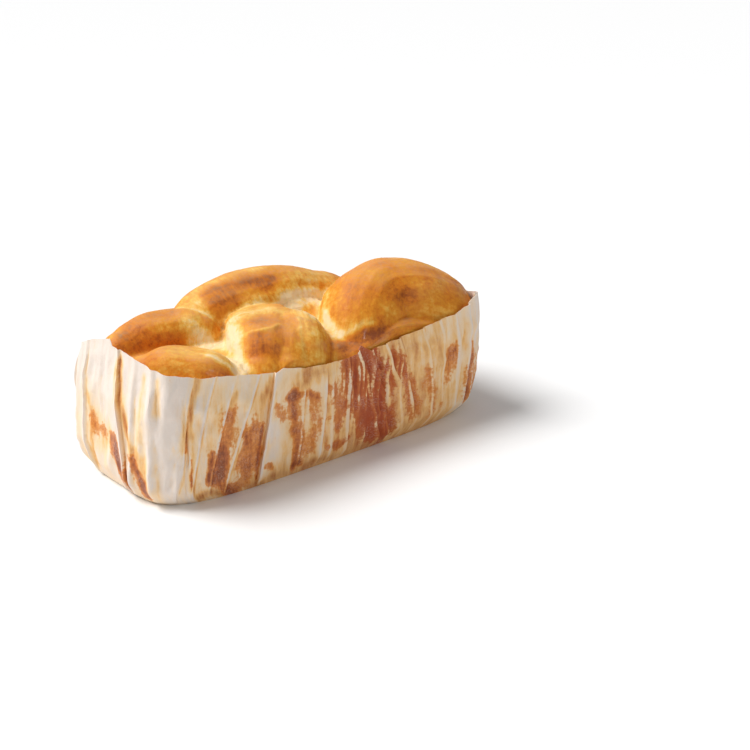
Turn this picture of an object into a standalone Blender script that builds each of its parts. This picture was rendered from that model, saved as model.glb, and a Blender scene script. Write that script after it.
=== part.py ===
"""Plaited brioche loaf in the pleated paper case that it was baked in.

+X runs along the loaf to its right end, +Y to its far side and +Z up. The origin is the middle of
the case's flat base, so the loaf stands on z = 0. Everything is in metres.
"""

import math

import bmesh
import bpy
from mathutils import Vector

# Driving dimensions
CASE_LENGTH = 0.271  # over the bulge of the paper's ends
CASE_WIDTH = 0.110  # over the bulge of its long sides
PAPER_HEIGHT = 0.080  # from the table to the rim, where the rim is of middling height
LOAF_HEIGHT = 0.110  # from the table to the top of the tallest knot of dough
PAPER_THICKNESS = 0.0009
PAPER_GAP = 0.0006  # between the paper and the dough that leans on it

HALF_LENGTH = CASE_LENGTH / 2
HALF_WIDTH = CASE_WIDTH / 2
GIRTH = 2 * (CASE_LENGTH + CASE_WIDTH)  # round the box that the case fits
DOUGH_FLOOR = PAPER_THICKNESS + PAPER_GAP

# The case in plan is a squared ellipse. Each row holds a height as a share of the paper's height,
# the shares of the half length and half width reached there, and how square the corners are on the
# near side and on the far side.
WALL_LEVELS = (
    (0.00, 0.962, 0.918, 4.3, 6.2),
    (0.05, 0.984, 0.948, 4.5, 6.6),
    (0.15, 0.997, 0.978, 4.8, 7.2),
    (0.45, 1.000, 1.000, 5.2, 8.0),
    (0.75, 0.985, 0.985, 7.0, 9.5),
    (1.00, 0.960, 0.955, 12.0, 11.0),
    (1.20, 0.950, 0.940, 13.0, 12.0),
)

# The rim's height, as a share of the paper's height, by its place round the case. A place is a
# share of the way round, counted from the middle of the right end, by way of the far side, the left
# end and the near side.
RIM_HEIGHTS = (
    (0.000, 1.04),
    (0.050, 1.02),
    (0.072, 1.10),
    (0.095, 1.02),
    (0.160, 0.95),
    (0.250, 0.92),
    (0.340, 0.95),
    (0.400, 1.00),
    (0.428, 1.13),
    (0.460, 1.17),
    (0.492, 1.18),
    (0.504, 1.13),
    (0.535, 1.13),
    (0.560, 1.11),
    (0.590, 1.10),
    (0.602, 1.06),
    (0.620, 1.01),
    (0.650, 1.00),
    (0.680, 0.92),
    (0.710, 0.90),
    (0.745, 0.87),
    (0.766, 0.88),
    (0.776, 0.95),
    (0.784, 0.88),
    (0.830, 0.92),
    (0.890, 0.97),
    (0.926, 1.09),
    (0.955, 1.02),
    (1.000, 1.04),
)

# The folds in the paper, each a ridge that rises slowly along the wall and drops back at its edge:
# the edge's place at the rim and at the foot, the width of the slow side and the height of the
# edge. A negative width turns the steep side to the other hand.
FOLDS = (
    (0.020, 0.024, 0.020, 0.0018),
    (0.058, 0.052, 0.014, 0.0022),
    (0.084, 0.080, 0.014, 0.0026),
    (0.135, 0.128, 0.022, 0.0018),
    (0.205, 0.210, 0.026, 0.0020),
    (0.282, 0.272, 0.020, 0.0018),
    (0.345, 0.352, 0.024, 0.0022),
    (0.412, 0.402, 0.016, 0.0026),
    (0.450, 0.472, 0.012, 0.0022),
    (0.500, 0.496, 0.026, 0.0038),
    (0.525, 0.522, 0.011, 0.0022),
    (0.540, 0.538, 0.010, 0.0024),
    (0.558, 0.556, 0.011, 0.0024),
    (0.577, 0.570, 0.011, 0.0024),
    (0.593, 0.578, 0.010, 0.0026),
    (0.619, 0.599, 0.017, 0.0032),
    (0.679, 0.661, -0.022, 0.0036),
    (0.728, 0.722, 0.018, 0.0016),
    (0.757, 0.756, 0.012, 0.0020),
    (0.777, 0.796, 0.010, 0.0030),
    (0.792, 0.812, 0.010, 0.0030),
    (0.808, 0.826, 0.011, 0.0030),
    (0.845, 0.850, 0.018, 0.0024),
    (0.888, 0.884, 0.018, 0.0022),
    (0.922, 0.914, 0.014, 0.0028),
    (0.962, 0.966, 0.022, 0.0022),
)
FOLD_DROP = 0.0035  # how far along the wall a ridge's steep side runs
FOLD_START = 0.25  # the share of the wall's height where the folds have opened to their full depth

# Above the rim of the long sides the dough may swell out over the paper, by this much for each
# metre of height, but not near the ends, where the paper's corners stand up.
OVERHANG = 0.9
OVERHANG_ENDS = 0.76  # of the half length
OVERHANG_FADE = 0.10

# How finely the two solids are faceted
LOAF_VOXEL = 0.0022
LOAF_FACES = 6000
BODY_SIDES = 96
WALL_COLUMNS = 140
WALL_ROWS = (0.0, 0.05, 0.15, 0.34, 0.56, 0.78, 1.0)

# The body under the ropes, a block with a pillowed top. Each row holds a height as a share of the
# loaf's height and how far the body stays inside the paper there.
BODY_LEVELS = (
    (0.000, PAPER_GAP),
    (0.040, PAPER_GAP),
    (0.110, PAPER_GAP),
    (0.240, PAPER_GAP),
    (0.400, PAPER_GAP),
    (0.560, PAPER_GAP),
    (0.630, 0.0025),
    (0.680, 0.0080),
    (0.705, 0.0160),
    (0.715, 0.0280),
)

CRUST_COLOUR = (0.72, 0.36, 0.10, 1.0)
PAPER_COLOUR = (0.88, 0.80, 0.68, 1.0)


def clear_scene():
    """Starts from an empty file."""
    for obj in list(bpy.data.objects):
        bpy.data.objects.remove(obj)


def material(name, colour, roughness):
    made = bpy.data.materials.new(name)
    made.use_nodes = True
    shader = made.node_tree.nodes["Principled BSDF"]
    shader.inputs["Base Color"].default_value = colour
    shader.inputs["Roughness"].default_value = roughness
    shader.inputs["Metallic"].default_value = 0.0
    return made


def blend(a, b, share):
    return a + (b - a) * share


def from_table(table, place):
    """The rest of the table's row at a place, blended between the rows on either side of it."""
    place = min(max(place, table[0][0]), table[-1][0])
    for low, high in zip(table, table[1:]):
        if place <= high[0]:
            step = (place - low[0]) / (high[0] - low[0])
            return [blend(a, b, step) for a, b in zip(low[1:], high[1:])]
    return None


def wall_shape(height):
    """Half length, half width and the two squarenesses of the case's plan at a height."""
    along, across, near_square, far_square = from_table(WALL_LEVELS, height / PAPER_HEIGHT)
    return along * HALF_LENGTH, across * HALF_WIDTH, near_square, far_square


def box_direction(place):
    """The point of a box round the case at a share of the way round, as shares of its half sizes."""
    way = place * GIRTH
    if way < HALF_WIDTH:
        return 1.0, way / HALF_WIDTH
    way -= HALF_WIDTH
    if way < CASE_LENGTH:
        return 1.0 - way / HALF_LENGTH, 1.0
    way -= CASE_LENGTH
    if way < CASE_WIDTH:
        return -1.0, 1.0 - way / HALF_WIDTH
    way -= CASE_WIDTH
    if way < CASE_LENGTH:
        return way / HALF_LENGTH - 1.0, -1.0
    way -= CASE_LENGTH
    return 1.0, way / HALF_WIDTH - 1.0


def plan_point(place, height, inset=0.0):
    """The case's wall at a share of the way round it and a height, moved in by inset."""
    half_x, half_y, near_square, far_square = wall_shape(height)
    along, across = box_direction(place)
    square = far_square if across > 0.0 else near_square
    reach = (abs(along) ** square + abs(across) ** square) ** (1 / square)
    return Vector((along * (half_x - inset) / reach, across * (half_y - inset) / reach, height))


def clamp_to_case(point, inset):
    """Moves a point of the dough in until it is inside the paper and above the base."""
    half_x, half_y, near_square, far_square = wall_shape(point.z)
    middle = min(max((OVERHANG_ENDS - abs(point.x) / HALF_LENGTH) / OVERHANG_FADE, 0.0), 1.0)
    half_y += middle * OVERHANG * max(point.z - PAPER_HEIGHT, 0.0)
    square = far_square if point.y > 0.0 else near_square
    reach = abs(point.x / (half_x - inset)) ** square + abs(point.y / (half_y - inset)) ** square
    if reach > 1.0:
        point.xy *= reach ** (-1 / square)
    point.z = max(point.z, DOUGH_FLOOR)


# The ropes of dough, each a smooth tube through points chosen by hand. A point is its place along,
# across and up, then the rope's radius, all as shares: of the half length, the half width, the
# loaf's height and the half width.
ROPES = {
    "end_knot_far": (
        (-0.77, 0.62, 0.64, 0.20),
        (-0.69, 0.60, 0.68, 0.30),
        (-0.58, 0.53, 0.70, 0.34),
        (-0.47, 0.38, 0.69, 0.30),
        (-0.40, 0.24, 0.65, 0.22),
    ),
    "end_knot_near": (
        (-0.79, 0.00, 0.63, 0.22),
        (-0.73, -0.16, 0.66, 0.30),
        (-0.66, -0.36, 0.67, 0.34),
        (-0.60, -0.56, 0.64, 0.33),
        (-0.54, -0.73, 0.58, 0.24),
    ),
    "far_rope": (
        (-0.53, 0.62, 0.60, 0.22),
        (-0.44, 0.64, 0.66, 0.29),
        (-0.33, 0.65, 0.72, 0.40),
        (-0.15, 0.65, 0.75, 0.45),
        (-0.03, 0.60, 0.75, 0.45),
        (0.13, 0.47, 0.73, 0.45),
        (0.32, 0.27, 0.66, 0.42),
        (0.44, 0.15, 0.58, 0.36),
    ),
    "middle_knot": (
        (-0.10, 0.05, 0.65, 0.35),
        (-0.20, -0.15, 0.68, 0.41),
        (-0.29, -0.40, 0.65, 0.44),
        (-0.36, -0.62, 0.57, 0.37),
    ),
    "middle_knot_side": (
        (0.01, -0.11, 0.63, 0.33),
        (-0.06, -0.31, 0.66, 0.39),
        (-0.12, -0.55, 0.63, 0.40),
        (-0.17, -0.73, 0.55, 0.35),
    ),
    "dome": (
        (0.15, -0.65, 0.51, 0.29),
        (0.22, -0.56, 0.60, 0.42),
        (0.33, -0.36, 0.69, 0.54),
        (0.46, -0.24, 0.73, 0.56),
        (0.58, -0.25, 0.71, 0.60),
        (0.69, -0.33, 0.66, 0.60),
        (0.80, -0.40, 0.60, 0.55),
        (0.86, -0.36, 0.51, 0.44),
    ),
    "near_lip": (
        (0.06, -0.76, 0.53, 0.25),
        (0.20, -0.76, 0.56, 0.29),
        (0.38, -0.76, 0.58, 0.33),
        (0.57, -0.76, 0.56, 0.31),
    ),
    "far_end_knot": (
        (0.46, 0.62, 0.56, 0.33),
        (0.62, 0.62, 0.60, 0.36),
        (0.77, 0.51, 0.56, 0.35),
        (0.86, 0.33, 0.50, 0.25),
    ),
    "near_end_knot": (
        (0.64, -0.65, 0.55, 0.33),
        (0.77, -0.62, 0.55, 0.33),
        (0.87, -0.44, 0.47, 0.24),
    ),
    "valley": (
        (-0.41, 0.18, 0.53, 0.29),
        (-0.32, 0.15, 0.55, 0.29),
        (-0.24, 0.22, 0.55, 0.31),
    ),
}


def rope_mesh(name, route):
    """A tube of dough with round ends, swept along a curve."""
    curve = bpy.data.curves.new(name, "CURVE")
    curve.dimensions = "3D"
    curve.bevel_depth = 1.0
    curve.bevel_resolution = 7
    curve.resolution_u = 10
    curve.use_fill_caps = True
    spline = curve.splines.new("BEZIER")
    spline.bezier_points.add(len(route) - 1)
    spline.radius_interpolation = "CARDINAL"
    for knot, (along, across, up, radius) in zip(spline.bezier_points, route):
        knot.co = (along * HALF_LENGTH, across * HALF_WIDTH, up * LOAF_HEIGHT)
        knot.radius = radius * HALF_WIDTH
        knot.handle_left_type = "AUTO"
        knot.handle_right_type = "AUTO"
    sweep = bpy.data.objects.new(name, curve)
    bpy.context.collection.objects.link(sweep)
    made = bmesh.new()
    bpy.context.view_layer.update()
    graph = bpy.context.evaluated_depsgraph_get()
    made.from_mesh(sweep.evaluated_get(graph).to_mesh())
    bpy.data.objects.remove(sweep)
    for along, across, up, radius in (route[0], route[-1]):
        ball = bmesh.ops.create_icosphere(made, subdivisions=3, radius=radius * HALF_WIDTH)
        centre = Vector((along * HALF_LENGTH, across * HALF_WIDTH, up * LOAF_HEIGHT))
        bmesh.ops.translate(made, verts=ball["verts"], vec=centre)
    mesh = bpy.data.meshes.new(name)
    made.to_mesh(mesh)
    made.free()
    return mesh


def bridge(made, lower, upper):
    """Joins two rings of vertices that have the same number of them by a band of quads."""
    for k in range(len(lower)):
        n = (k + 1) % len(lower)
        made.faces.new((lower[k], lower[n], upper[n], upper[k]))


def cap(made, ring):
    """Closes a level ring with triangles that meet in its middle."""
    middle = made.verts.new((0.0, 0.0, ring[0].co.z))
    for k in range(len(ring)):
        made.faces.new((ring[k], ring[(k + 1) % len(ring)], middle))


def body_mesh():
    """The lower part of the loaf, where the ropes have grown together and fill the paper."""
    made = bmesh.new()
    rings = []
    for share, inset in BODY_LEVELS:
        height = max(share * LOAF_HEIGHT, DOUGH_FLOOR)
        ring = []
        for k in range(BODY_SIDES):
            ring.append(made.verts.new(plan_point(k / BODY_SIDES, height, inset)))
        rings.append(ring)
    for lower, upper in zip(rings, rings[1:]):
        bridge(made, lower, upper)
    cap(made, rings[0][::-1])
    cap(made, rings[-1])
    mesh = bpy.data.meshes.new("body")
    made.to_mesh(mesh)
    made.free()
    return mesh


def loaf():
    """The dough: ropes and body run together, then trimmed to the inside of the paper."""
    joined = bmesh.new()
    for mesh in [body_mesh()] + [rope_mesh(name, route) for name, route in ROPES.items()]:
        joined.from_mesh(mesh)
    mesh = bpy.data.meshes.new("loaf")
    joined.to_mesh(mesh)
    joined.free()
    obj = bpy.data.objects.new("loaf", mesh)
    bpy.context.collection.objects.link(obj)
    remesh = obj.modifiers.new("one_skin", "REMESH")
    remesh.mode = "VOXEL"
    remesh.voxel_size = LOAF_VOXEL
    settle = obj.modifiers.new("settle", "SMOOTH")
    settle.factor = 0.5
    settle.iterations = 3
    bpy.context.view_layer.update()
    graph = bpy.context.evaluated_depsgraph_get()
    fine = len(obj.evaluated_get(graph).data.polygons) * 2
    thin = obj.modifiers.new("fewer_faces", "DECIMATE")
    thin.ratio = LOAF_FACES / fine
    bpy.context.view_layer.update()
    graph = bpy.context.evaluated_depsgraph_get()
    final = bpy.data.meshes.new_from_object(obj.evaluated_get(graph))
    for vertex in final.vertices:
        clamp_to_case(vertex.co, PAPER_GAP)
    obj.modifiers.clear()
    obj.data = final
    final.shade_smooth()
    final.materials.append(material("crust", CRUST_COLOUR, 0.45))
    return obj


def fold_height(place, share):
    """How far the folds lift the paper off the plan outline, at a place and a share of its height."""
    lift = 0.0
    for rim_place, foot_place, width, height in FOLDS:
        gap = (place - blend(foot_place, rim_place, share)) * GIRTH
        gap = math.copysign(1.0, width) * gap
        if -abs(width) < gap <= 0.0:
            lift = max(lift, height * (1.0 + gap / abs(width)))
        elif 0.0 < gap < FOLD_DROP:
            lift = max(lift, height * (1.0 - gap / FOLD_DROP))
    return lift * min(1.0, share / FOLD_START)


def paper_case():
    """The paper: a flat base and a pleated wall, one closed sheet with an inner and outer face."""
    made = bmesh.new()
    inner_rings = []
    outer_rings = []
    for share in WALL_ROWS:
        inner = []
        outer = []
        for k in range(WALL_COLUMNS):
            place = k / WALL_COLUMNS
            rim = from_table(RIM_HEIGHTS, place)[0] * PAPER_HEIGHT
            lift = fold_height(place, share)
            inner_height = blend(PAPER_THICKNESS, rim, share)
            outer_height = rim * share
            inner.append(made.verts.new(plan_point(place, inner_height, -lift)))
            outer.append(made.verts.new(plan_point(place, outer_height, -lift - PAPER_THICKNESS)))
        inner_rings.append(inner)
        outer_rings.append(outer)
    for lower, upper in zip(outer_rings, outer_rings[1:]):
        bridge(made, lower, upper)
    bridge(made, outer_rings[-1], inner_rings[-1])
    for upper, lower in zip(reversed(inner_rings), reversed(inner_rings[:-1])):
        bridge(made, upper, lower)
    cap(made, inner_rings[0])
    cap(made, outer_rings[0][::-1])
    mesh = bpy.data.meshes.new("paper_case")
    made.to_mesh(mesh)
    made.free()
    obj = bpy.data.objects.new("paper_case", mesh)
    bpy.context.collection.objects.link(obj)
    mesh.shade_smooth()
    mesh.materials.append(material("baking_paper", PAPER_COLOUR, 0.6))
    return obj


clear_scene()
loaf()
paper_case()
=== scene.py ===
"""Plaited brioche loaf in the pleated paper case it was baked in: camera, bread, paper, light."""

import math

import bpy
import numpy as np
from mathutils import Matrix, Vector
from mathutils.geometry import interpolate_bezier


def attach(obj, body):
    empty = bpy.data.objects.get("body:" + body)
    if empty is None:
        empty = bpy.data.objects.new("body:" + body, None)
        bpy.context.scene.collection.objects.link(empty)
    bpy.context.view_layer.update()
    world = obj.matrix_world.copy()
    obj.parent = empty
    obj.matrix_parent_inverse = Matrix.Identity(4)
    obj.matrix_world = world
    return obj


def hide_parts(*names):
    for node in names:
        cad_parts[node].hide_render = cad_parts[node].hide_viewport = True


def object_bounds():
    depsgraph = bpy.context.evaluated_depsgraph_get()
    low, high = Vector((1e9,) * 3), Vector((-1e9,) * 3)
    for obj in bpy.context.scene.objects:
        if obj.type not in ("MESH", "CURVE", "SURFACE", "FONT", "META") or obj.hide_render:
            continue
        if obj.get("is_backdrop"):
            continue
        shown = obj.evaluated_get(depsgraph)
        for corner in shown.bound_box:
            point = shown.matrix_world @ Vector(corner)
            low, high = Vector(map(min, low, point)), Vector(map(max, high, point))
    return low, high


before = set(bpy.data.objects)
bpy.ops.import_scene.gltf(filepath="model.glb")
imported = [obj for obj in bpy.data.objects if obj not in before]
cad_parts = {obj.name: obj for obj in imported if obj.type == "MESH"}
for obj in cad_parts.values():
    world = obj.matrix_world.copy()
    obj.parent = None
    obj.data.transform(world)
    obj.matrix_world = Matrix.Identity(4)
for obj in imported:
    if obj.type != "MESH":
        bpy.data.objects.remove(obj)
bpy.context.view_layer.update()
bpy.ops.object.select_all(action="DESELECT")


# Camera
# A long lens that looks down over the near left corner of the case, from a little above the loaf.
# Its place was fitted to the outline of the paper case.
CAMERA_AIM = Vector((0.0350, -0.0463, 0.0480))
CAMERA_DISTANCE = 0.9918
CAMERA_AZIMUTH = math.radians(-40.40)
CAMERA_ELEVATION = math.radians(21.98)

away = Vector((
    math.sin(CAMERA_AZIMUTH) * math.cos(CAMERA_ELEVATION),
    -math.cos(CAMERA_AZIMUTH) * math.cos(CAMERA_ELEVATION),
    math.sin(CAMERA_ELEVATION),
))
bpy.ops.object.camera_add(location=CAMERA_AIM + away * CAMERA_DISTANCE)
camera = bpy.context.object
camera.name = "portrait_camera"
camera.rotation_euler = (math.pi / 2 - CAMERA_ELEVATION, 0.0, CAMERA_AZIMUTH)
camera.data.sensor_width = 36.0
camera.data.lens = 72.0
camera.data.clip_start = 0.05
camera.data.clip_end = 20.0
bpy.context.scene.camera = camera


# The loaf
# Enriched dough, plaited from thick ropes that swelled in the oven until they ran together, and
# glazed with egg. The ropes are swept tubes, joined under one skin and then given their relief.

# The tin that it was baked in shaped the dough and the paper alike: a squared ellipse in plan,
# rounded at the foot. Each level holds a height as a share of the paper's, the shares of half
# length and half width, and how square the near and far corners are.
CASE_LENGTH = 0.271
CASE_WIDTH = 0.110
PAPER_HEIGHT = 0.080
HALF_LENGTH = CASE_LENGTH / 2
HALF_WIDTH = CASE_WIDTH / 2
GIRTH = 2 * (CASE_LENGTH + CASE_WIDTH)
WALL_LEVELS = np.array((
    (0.00, 0.962, 0.918, 4.3, 6.2),
    (0.05, 0.984, 0.948, 4.5, 6.6),
    (0.15, 0.997, 0.978, 4.8, 7.2),
    (0.45, 1.000, 1.000, 5.2, 8.0),
    (0.75, 0.985, 0.985, 7.0, 9.5),
    (1.00, 0.960, 0.955, 12.0, 11.0),
    (1.20, 0.950, 0.940, 13.0, 12.0),
))


def mould_at(heights):
    """Half length, half width and the near and far squareness of the mould at each height."""
    share = heights / PAPER_HEIGHT
    levels = [np.interp(share, WALL_LEVELS[:, 0], WALL_LEVELS[:, k]) for k in range(1, 5)]
    return levels[0] * HALF_LENGTH, levels[1] * HALF_WIDTH, levels[2], levels[3]


def on_mould(places, heights, inset):
    """Points of the mould's wall. A place is a share of the way round from the right end's middle,
    by way of the far side, the left end and the near side."""
    corners = np.cumsum([0.0, HALF_WIDTH, CASE_LENGTH, CASE_WIDTH, CASE_LENGTH, HALF_WIDTH]) / GIRTH
    along = np.interp(places, corners, (1.0, 1.0, -1.0, -1.0, 1.0, 1.0))
    across = np.interp(places, corners, (0.0, 1.0, 1.0, -1.0, -1.0, 0.0))
    half_x, half_y, near_square, far_square = mould_at(heights)
    square = np.where(across > 0.0, far_square, near_square)
    reach = (np.abs(along) ** square + np.abs(across) ** square) ** (1 / square)
    x = along * (half_x - inset) / reach
    y = across * (half_y - inset) / reach
    return np.stack((x, y, heights), axis=1)


def read_vectors(items, name="co"):
    """The places of a mesh's vertices, or another of their vectors, as rows of three."""
    flat = np.empty(len(items) * 3)
    items.foreach_get(name, flat)
    return flat.reshape(-1, 3)


def write_points(mesh, points):
    mesh.vertices.foreach_set("co", points.ravel())
    mesh.update()


def select_parts(mesh, vertices=False, edges=False):
    """Selects some of a mesh's vertices or edges alone, by a mask, for the next edit."""
    mesh.polygons.foreach_set("select", np.zeros(len(mesh.polygons), bool))
    mesh.edges.foreach_set("select", np.zeros(len(mesh.edges), bool) | edges)
    mesh.vertices.foreach_set("select", np.zeros(len(mesh.vertices), bool) | vertices)


def only(obj):
    """Selects one object alone and makes it active."""
    bpy.ops.object.select_all(action="DESELECT")
    obj.select_set(True)
    bpy.context.view_layer.objects.active = obj


def face_outwards():
    """Turns all faces of the piece in edit mode outwards, and leaves edit mode."""
    bpy.ops.mesh.select_all(action="SELECT")
    bpy.ops.mesh.normals_make_consistent(inside=False)
    bpy.ops.object.mode_set(mode="OBJECT")


def apply_modifier(kind, **settings):
    """Gives the active object one modifier with these settings, and applies it."""
    modifier = bpy.context.object.modifiers.new(kind.lower(), kind)
    for label, value in settings.items():
        setattr(modifier, label, value)
    bpy.ops.object.modifier_apply(modifier=modifier.name)


def wrapped_sheet(name, columns, rows, place_points):
    """A flat grid bent round into a wall and sewn up at its seam. Its UV map keeps the place round
    the wall and the share of the height, which is also what place_points is given."""
    bpy.ops.object.select_all(action="DESELECT")
    bpy.ops.mesh.primitive_grid_add(x_subdivisions=columns, y_subdivisions=rows, size=1.0)
    sheet = bpy.context.object
    sheet.name = name
    flat = read_vectors(sheet.data.vertices)
    write_points(sheet.data, place_points((flat[:, 0] + 0.5) % 1.0, flat[:, 1] + 0.5))
    bpy.ops.object.mode_set(mode="EDIT")
    bpy.ops.mesh.select_all(action="SELECT")
    bpy.ops.mesh.remove_doubles(threshold=0.00001)
    face_outwards()
    return sheet


def soft_noise(points, seed):
    """Smooth noise from -1 to 1 at each point, with one random value for each whole number."""
    cell = np.floor(points).astype(np.int64)
    part = points - cell
    part = part * part * (3 - 2 * part)
    total = np.zeros(len(points))
    for corner in range(8):
        step = np.array([corner & 1, (corner >> 1) & 1, (corner >> 2) & 1])
        weight = np.prod(np.where(step == 1, part, 1 - part), axis=1)
        key = (cell + step) @ np.array([374761393, 668265263, 2147483647]) + seed * 1274126177
        key = ((key ^ (key >> 13)) * 1103515245) & 0x7FFFFFFF
        key = ((key ^ (key >> 15)) * 69069) & 0x7FFFFFFF
        total += weight * (key / 0x3FFFFFFF - 1.0)
    return total


def ridges(points, seed):
    """Sharp creases between flat facets, as in a dry crust or in crumpled paper."""
    return 1.0 - np.abs(soft_noise(points, seed)) * 2.0


def layered_noise(points, layers):
    """Soft noise in layers, each with its cells to a metre, its seed and its height."""
    return sum(soft_noise(points * cells, seed) * height for cells, seed, height in layers)


def smooth_step(values, low, high):
    share = np.clip((values - low) / (high - low), 0.0, 1.0)
    return share * share * (3 - 2 * share)


# The loaf's height, and how far the dough stays off the mould's wall and off the table.
MM = 0.001
LOAF_HEIGHT = 0.110
PAPER_GAP = 0.0006
DOUGH_FLOOR = 0.0015

# The route of every rope in each knot, in millimetres: along, across and up, then its radius. The
# ropes of one knot baked as one lump, and the dough tore open between the knots.
KNOTS = {
    "far_end_knot_left": (
        ((-107, 34, 75.5, 14), (-95, 35, 77, 17.5), (-80, 32, 79.5, 19.5), (-66, 27, 79.5, 18.5),
         (-57, 22, 77, 16)),
    ),
    "near_end_knot_left": (
        ((-113, -2, 74, 12.5), (-104, -9, 75, 17), (-93, -19, 73.5, 18.5), (-84, -30, 70, 17.5),
         (-77, -39, 63, 13)),
    ),
    "long_rope": (
        ((-72, 34, 66, 12), (-60, 35, 73, 16), (-45, 36, 79.5, 22), (-20, 36, 84, 24.5),
         (-4, 35, 84.5, 25), (16, 33, 83.5, 24.5), (38, 31, 78.5, 23), (56, 30, 74, 21),
         (70, 30, 67, 18)),
    ),
    "middle_knot": (
        ((-13, 3, 71.5, 19), (-27, -8, 74.5, 22.5), (-39, -22, 71.5, 24), (-49, -34, 63, 20.5)),
        ((2, -6, 69, 18), (-8, -17, 72.5, 21.5), (-16, -30, 69, 22), (-23, -40, 60, 19)),
        ((-34, 0, 79.5, 15.5), (-16, -1, 79, 16), (-2, -6, 76, 15)),
        ((-10, -14, 76, 16), (-24, -28, 73, 19.5), (-35, -41, 64, 18)),
        ((-36, 8, 85, 8), (-44, -7, 84, 9), (-52, -24, 78, 9)),
        ((-36, 8, 85, 8), (-22, 9, 86, 9), (-8, 4, 85, 9)),
    ),
    "torn_dough": (
        ((8, 24, 76, 20), (22, 12, 72, 18), (24, -4, 66, 16), (18, -22, 58, 14)),
    ),
    "dome": (
        ((20, -36, 56, 16), (30, -31, 66, 23), (45, -20, 76, 29.5), (62, -13, 80, 31),
         (78, -14, 78, 33), (94, -18, 73, 33), (108, -22, 66, 30), (116, -20, 56, 24)),
        ((8, -42, 58, 14), (27, -42, 62, 16), (52, -42, 64, 18), (77, -42, 62, 17)),
    ),
    "far_end_knot_right": (
        ((62, 34, 62, 18), (84, 34, 66, 20), (104, 28, 62, 19), (116, 18, 55, 14)),
    ),
    "near_end_knot_right": (
        ((87, -36, 60, 18), (105, -34, 60, 18), (118, -24, 52, 13)),
    ),
    "valley": (
        ((-56, 10, 58, 16), (-44, 8, 60, 16), (-32, 12, 60, 17)),
    ),
}
ROPE_STEPS = 12

# The body under the ropes: its levels as shares of the loaf's height, and how far each stays inside
# the paper.
BODY_COLUMNS = 96
BODY_LEVELS = (0.000, 0.040, 0.110, 0.240, 0.400, 0.560, 0.630, 0.680, 0.705, 0.715)
BODY_INSETS = (PAPER_GAP,) * 6 + (0.0025, 0.0080, 0.0160, 0.0280)

# Above the rim of the long sides the dough swells out over the paper, except near the ends.
OVERHANG = 0.9
OVERHANG_ENDS = 0.76
OVERHANG_FADE = 0.10

# Knots whose torn strands run across the rope and not along it.
ACROSS_STRANDS = ("long_rope", "valley", "far_end_knot_left")

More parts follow.
